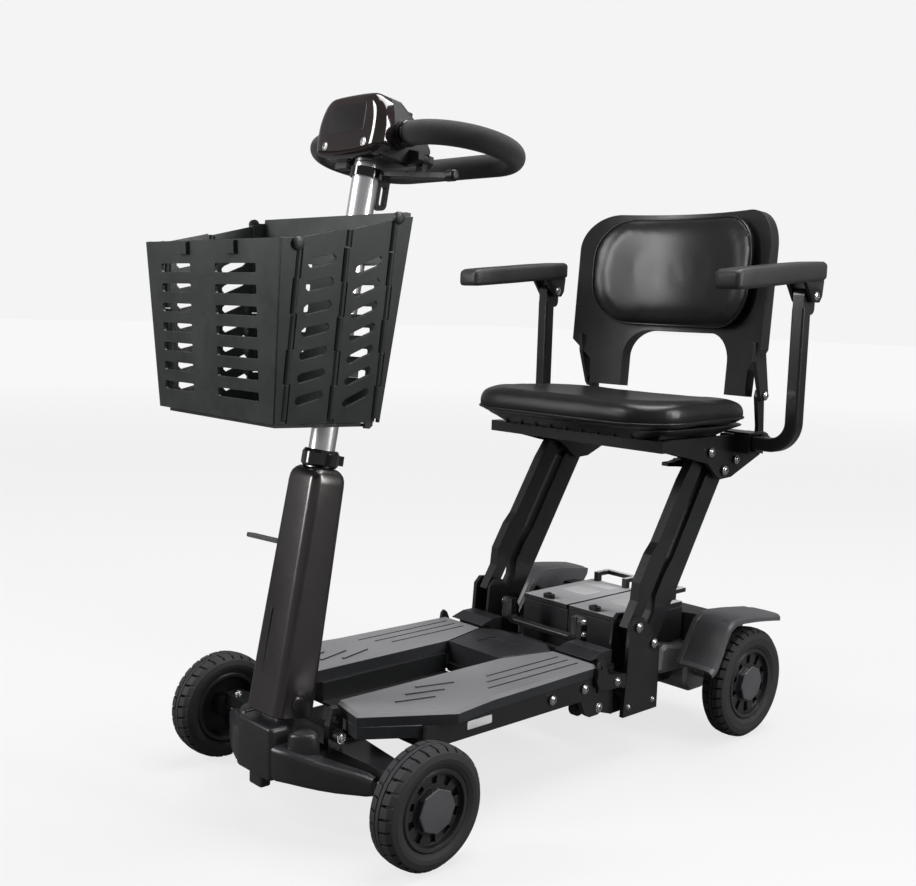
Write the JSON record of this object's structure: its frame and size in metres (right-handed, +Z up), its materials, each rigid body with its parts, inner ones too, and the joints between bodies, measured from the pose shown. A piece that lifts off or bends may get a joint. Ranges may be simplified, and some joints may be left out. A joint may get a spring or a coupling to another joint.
{
  "type": "mobility scooter",
  "caption": "Folding four-wheel mobility scooter: raked steering column with loop handlebar and basket, split deck, twin battery boxes and a padded seat on parallel posts.",
  "frame": {"origin": "on the ground, in the middle of the scooter's plan", "axes": "+X to the rider's left, +Y to the rear, +Z up"},
  "size_m": [0.662, 1.1251, 1.0802],
  "materials": {
    "tyre_rubber": "tread blocks",
    "wheel_plastic": "moulded",
    "nose_plastic": "fine grain",
    "deck_grey": "satin",
    "basket_plastic": "fine grain",
    "frame_black": "black coated",
    "column_grey": "anodised satin",
    "mast_silver": "polished",
    "gloss_black": "gloss",
    "console_brown": "high gloss",
    "console_grey": "satin",
    "grip_foam": "foam",
    "seat_vinyl": "soft sheen vinyl",
    "shell_plastic": "satin",
    "armrest_black": "pebbled",
    "battery_case": "case black, light grey top",
    "fender_grey": "satin",
    "lever_black": "satin",
    "drive_metal": "cast",
    "axle_steel": "machined"
  },
  "bodies": {
    "deck": {"deck_frame": "frame_black", "front_beam": "frame_black", "nose_cover": "nose_plastic", "foot_panel_left": "deck_grey", "foot_panel_right": "deck_grey", "bridge_cover": "nose_plastic"},
    "steering_yoke": {"steer_yoke": "axle_steel"},
    "column": {"column": "column_grey", "collar": "gloss_black"},
    "column_lever": {"column_lever": "lever_black"},
    "mast": {"mast": "mast_silver", "console_body": "console_grey", "console_cover": "console_brown", "handlebar": "grip_foam", "bag_hook": "gloss_black", "basket_back": "basket_plastic"},
    "speed_knob": {"speed_knob": "lever_black"},
    "brake_lever": {"brake_lever": "lever_black"},
    "basket_floor": {"basket_floor": "basket_plastic"},
    "basket_rear_half_left": {"basket_side_rear_left": "basket_plastic"},
    "basket_front_half_left": {"basket_side_front_left": "basket_plastic"},
    "basket_front": {"basket_front": "basket_plastic"},
    "basket_rear_half_right": {"basket_side_rear_right": "basket_plastic"},
    "basket_front_half_right": {"basket_side_front_right": "basket_plastic"},
    "knuckle_left": {"knuckle_left": "axle_steel"},
    "knuckle_right": {"knuckle_right": "axle_steel"},
    "wheel_front_left": {"tyre_front_left": "tyre_rubber", "rim_front_left": "wheel_plastic"},
    "wheel_front_right": {"tyre_front_right": "tyre_rubber", "rim_front_right": "wheel_plastic"},
    "transport_rollers": {"transport_rollers": "tyre_rubber"},
    "rear_half": {"rear_frame": "frame_black", "hinge_covers": "nose_plastic", "seat_brackets": "frame_black", "transaxle": "drive_metal", "rear_cover": "nose_plastic", "fenders": "fender_grey"},
    "wheel_rear_left": {"tyre_rear_left": "tyre_rubber", "rim_rear_left": "wheel_plastic"},
    "wheel_rear_right": {"tyre_rear_right": "tyre_rubber", "rim_rear_right": "wheel_plastic"},
    "lift_bar": {"lift_bar": "column_grey"},
    "battery_left": {"battery_left": "battery_case"},
    "battery_right": {"battery_right": "battery_case"},
    "battery_latch_left": {"battery_latch_left": "lever_black"},
    "battery_latch_right": {"battery_latch_right": "lever_black"},
    "seat_posts": {"seat_posts": "frame_black"},
    "seat_links": {"seat_links": "frame_black"},
    "seat": {"seat_frame": "frame_black", "seat_pan": "shell_plastic", "seat_cushion": "seat_vinyl"},
    "seat_release_lever": {"seat_release_lever": "lever_black"},
    "backrest": {"backrest_shell": "shell_plastic", "backrest_pad": "seat_vinyl"},
    "armrest_tube_left": {"armrest_tube_left": "frame_black"},
    "armrest_tube_right": {"armrest_tube_right": "frame_black"},
    "armrest_left": {"armrest_left": "armrest_black"},
    "armrest_right": {"armrest_right": "armrest_black"},
    "width_knob_left": {"width_knob_left": "lever_black"},
    "width_knob_right": {"width_knob_right": "lever_black"}
  },
  "joints": [
    {"name": "steer_turn", "type": "hinge", "parent": "deck", "child": "steering_yoke", "pos_m": [0, -0.4321, 0.15], "axis": [0, 0.1754, 0.9845], "range_deg": [-25, 25]},
    {"name": "column_fold", "type": "hinge", "parent": "steering_yoke", "child": "column", "pos_m": [0, -0.42579, 0.18544], "axis": [1, 0, 0], "range_deg": [-30, 0]},
    {"name": "mast_height", "type": "slide", "parent": "column", "child": "mast", "axis": [0, 0.1754, 0.9845], "range_m": [-0.04, 0.08]},
    {"name": "column_lever_lift", "type": "hinge", "parent": "column", "child": "column_lever", "pos_m": [-0.045, -0.39058, 0.40873], "axis": [0, 0.9845, -0.1754], "range_deg": [0, 12]},
    {"name": "speed_knob_turn", "type": "hinge", "parent": "mast", "child": "speed_knob", "pos_m": [0.03, -0.24128, 1.03881], "axis": [0, 0.1754, 0.9845], "range_deg": [-135, 135]},
    {"name": "brake_lever_pull", "type": "hinge", "parent": "mast", "child": "brake_lever", "pos_m": [0.078, -0.24243, 0.9867], "axis": [0, 0.9845, -0.1754], "range_deg": [-12, 0], "stiffness_Nm_per_rad": 1.2, "springref_deg": 8.59},
    {"name": "basket_floor_flip", "type": "hinge", "parent": "mast", "child": "basket_floor", "pos_m": [0, -0.387, 0.607], "axis": [1, 0, 0], "range_deg": [-75, 0]},
    {"name": "basket_fold", "type": "hinge", "parent": "mast", "child": "basket_rear_half_left", "pos_m": [0.146, -0.38104, 0.60761], "axis": [-0.0958, -0.0313, -0.9949], "range_deg": [0, 60]},
    {"name": "basket_fold_front_left", "type": "hinge", "parent": "basket_rear_half_left", "child": "basket_front_half_left", "pos_m": [0.146, -0.457, 0.61], "axis": [-0.0958, -0.0313, -0.9949], "range_deg": [-120, 0]},
    {"name": "basket_front_carry", "type": "hinge", "parent": "basket_front_half_left", "child": "basket_front", "pos_m": [0.146, -0.53296, 0.61239], "axis": [-0.0958, -0.0313, -0.9949], "range_deg": [0, 60]},
    {"name": "basket_fold_rear_right", "type": "hinge", "parent": "mast", "child": "basket_rear_half_right", "pos_m": [-0.146, -0.38104, 0.60761], "axis": [-0.0958, 0.0313, 0.9949], "range_deg": [0, 60]},
    {"name": "basket_fold_front_right", "type": "hinge", "parent": "basket_rear_half_right", "child": "basket_front_half_right", "pos_m": [-0.146, -0.457, 0.61], "axis": [-0.0958, 0.0313, 0.9949], "range_deg": [-120, 0]},
    {"name": "knuckle_turn_left", "type": "hinge", "parent": "deck", "child": "knuckle_left", "pos_m": [0.214, -0.365, 0.09], "axis": [0, 0, 1], "range_deg": [-25, 25]},
    {"name": "knuckle_turn_right", "type": "hinge", "parent": "deck", "child": "knuckle_right", "pos_m": [-0.214, -0.365, 0.09], "axis": [0, 0, 1], "range_deg": [-25, 25]},
    {"name": "wheel_spin_front_left", "type": "hinge", "parent": "knuckle_left", "child": "wheel_front_left", "pos_m": [0.263, -0.365, 0.089], "axis": [1, 0, 0], "continuous": true},
    {"name": "wheel_spin_front_right", "type": "hinge", "parent": "knuckle_right", "child": "wheel_front_right", "pos_m": [-0.263, -0.365, 0.089], "axis": [1, 0, 0], "continuous": true},
    {"name": "roller_spin", "type": "hinge", "parent": "deck", "child": "transport_rollers", "pos_m": [0, 0.063, 0.11], "axis": [1, 0, 0], "continuous": true},
    {"name": "deck_fold", "type": "hinge", "parent": "deck", "child": "rear_half", "pos_m": [0, 0.0867, 0.1097], "axis": [1, 0, 0], "range_deg": [-40, 0]},
    {"name": "wheel_spin_rear_left", "type": "hinge", "parent": "rear_half", "child": "wheel_rear_left", "pos_m": [0.2456, 0.4294, 0.1015], "axis": [1, 0, 0], "continuous": true},
    {"name": "wheel_spin_rear_right", "type": "hinge", "parent": "rear_half", "child": "wheel_rear_right", "pos_m": [-0.2456, 0.4294, 0.1015], "axis": [1, 0, 0], "continuous": true},
    {"name": "lift_bar_swing", "type": "hinge", "parent": "rear_half", "child": "lift_bar", "pos_m": [0, 0.148, 0.226], "axis": [1, 0, 0], "range_deg": [-85, 20]},
    {"name": "battery_lift_left", "type": "slide", "parent": "rear_half", "child": "battery_left", "axis": [0, 0, -1], "range_m": [-0.08, 0]},
    {"name": "battery_lift_right", "type": "slide", "parent": "rear_half", "child": "battery_right", "axis": [0, 0, -1], "range_m": [-0.08, 0]},
    {"name": "battery_latch_turn_left", "type": "hinge", "parent": "battery_left", "child": "battery_latch_left", "pos_m": [0.057, 0.225, 0.2273], "axis": [0, 0, 1], "range_deg": [0, 90]},
    {"name": "battery_latch_turn_right", "type": "hinge", "parent": "battery_right", "child": "battery_latch_right", "pos_m": [-0.057, 0.225, 0.2273], "axis": [0, 0, 1], "range_deg": [0, 90]},
    {"name": "seat_fold", "type": "hinge", "parent": "rear_half", "child": "seat_posts", "pos_m": [0, 0.2224, 0.199], "axis": [-1, 0, 0], "range_deg": [0, 35]},
    {"name": "link_follow", "type": "hinge", "parent": "rear_half", "child": "seat_links", "pos_m": [0, 0.1775, 0.2349], "axis": [-1, 0, 0], "range_deg": [0, 35]},
    {"name": "seat_level", "type": "hinge", "parent": "seat_posts", "child": "seat", "pos_m": [0, 0.40152, 0.49245], "axis": [-1, 0, 0], "range_deg": [-35, 0]},
    {"name": "seat_release_pull", "type": "hinge", "parent": "seat", "child": "seat_release_lever", "pos_m": [0.135, 0.37, 0.503], "axis": [1, 0, 0], "range_deg": [-15, 0], "stiffness_Nm_per_rad": 0.5, "springref_deg": 17.19},
    {"name": "backrest_fold", "type": "hinge", "parent": "seat", "child": "backrest", "pos_m": [0, 0.498, 0.6275], "axis": [1, 0, 0], "range_deg": [0, 50]},
    {"name": "armrest_width_left", "type": "slide", "parent": "seat", "child": "armrest_tube_left", "axis": [1, 0, 0], "range_m": [0, 0.04]},
    {"name": "armrest_width_right", "type": "slide", "parent": "seat", "child": "armrest_tube_right", "axis": [-1, 0, 0], "range_m": [0, 0.04]},
    {"name": "armrest_flip_left", "type": "hinge", "parent": "armrest_tube_left", "child": "armrest_left", "pos_m": [0.305, 0.466, 0.812], "axis": [-1, 0, 0], "range_deg": [0, 85]},
    {"name": "armrest_flip_right", "type": "hinge", "parent": "armrest_tube_right", "child": "armrest_right", "pos_m": [-0.305, 0.466, 0.812], "axis": [-1, 0, 0], "range_deg": [0, 85]},
    {"name": "width_knob_turn_left", "type": "hinge", "parent": "seat", "child": "width_knob_left", "pos_m": [0.219, 0.485, 0.543], "axis": [0, 1, 0], "continuous": true},
    {"name": "width_knob_turn_right", "type": "hinge", "parent": "seat", "child": "width_knob_right", "pos_m": [-0.219, 0.485, 0.543], "axis": [0, 1, 0], "continuous": true}
  ],
  "couplings": [
    {"joint": "knuckle_turn_left", "follows": "steer_turn", "ratio": 1},
    {"joint": "knuckle_turn_right", "follows": "steer_turn", "ratio": 1},
    {"joint": "basket_fold_front_left", "follows": "basket_fold", "ratio": -2},
    {"joint": "basket_front_carry", "follows": "basket_fold", "ratio": 1},
    {"joint": "basket_fold_rear_right", "follows": "basket_fold", "ratio": 1},
    {"joint": "basket_fold_front_right", "follows": "basket_fold", "ratio": -2},
    {"joint": "link_follow", "follows": "seat_fold", "ratio": 1},
    {"joint": "seat_level", "follows": "seat_fold", "ratio": -1}
  ]
}
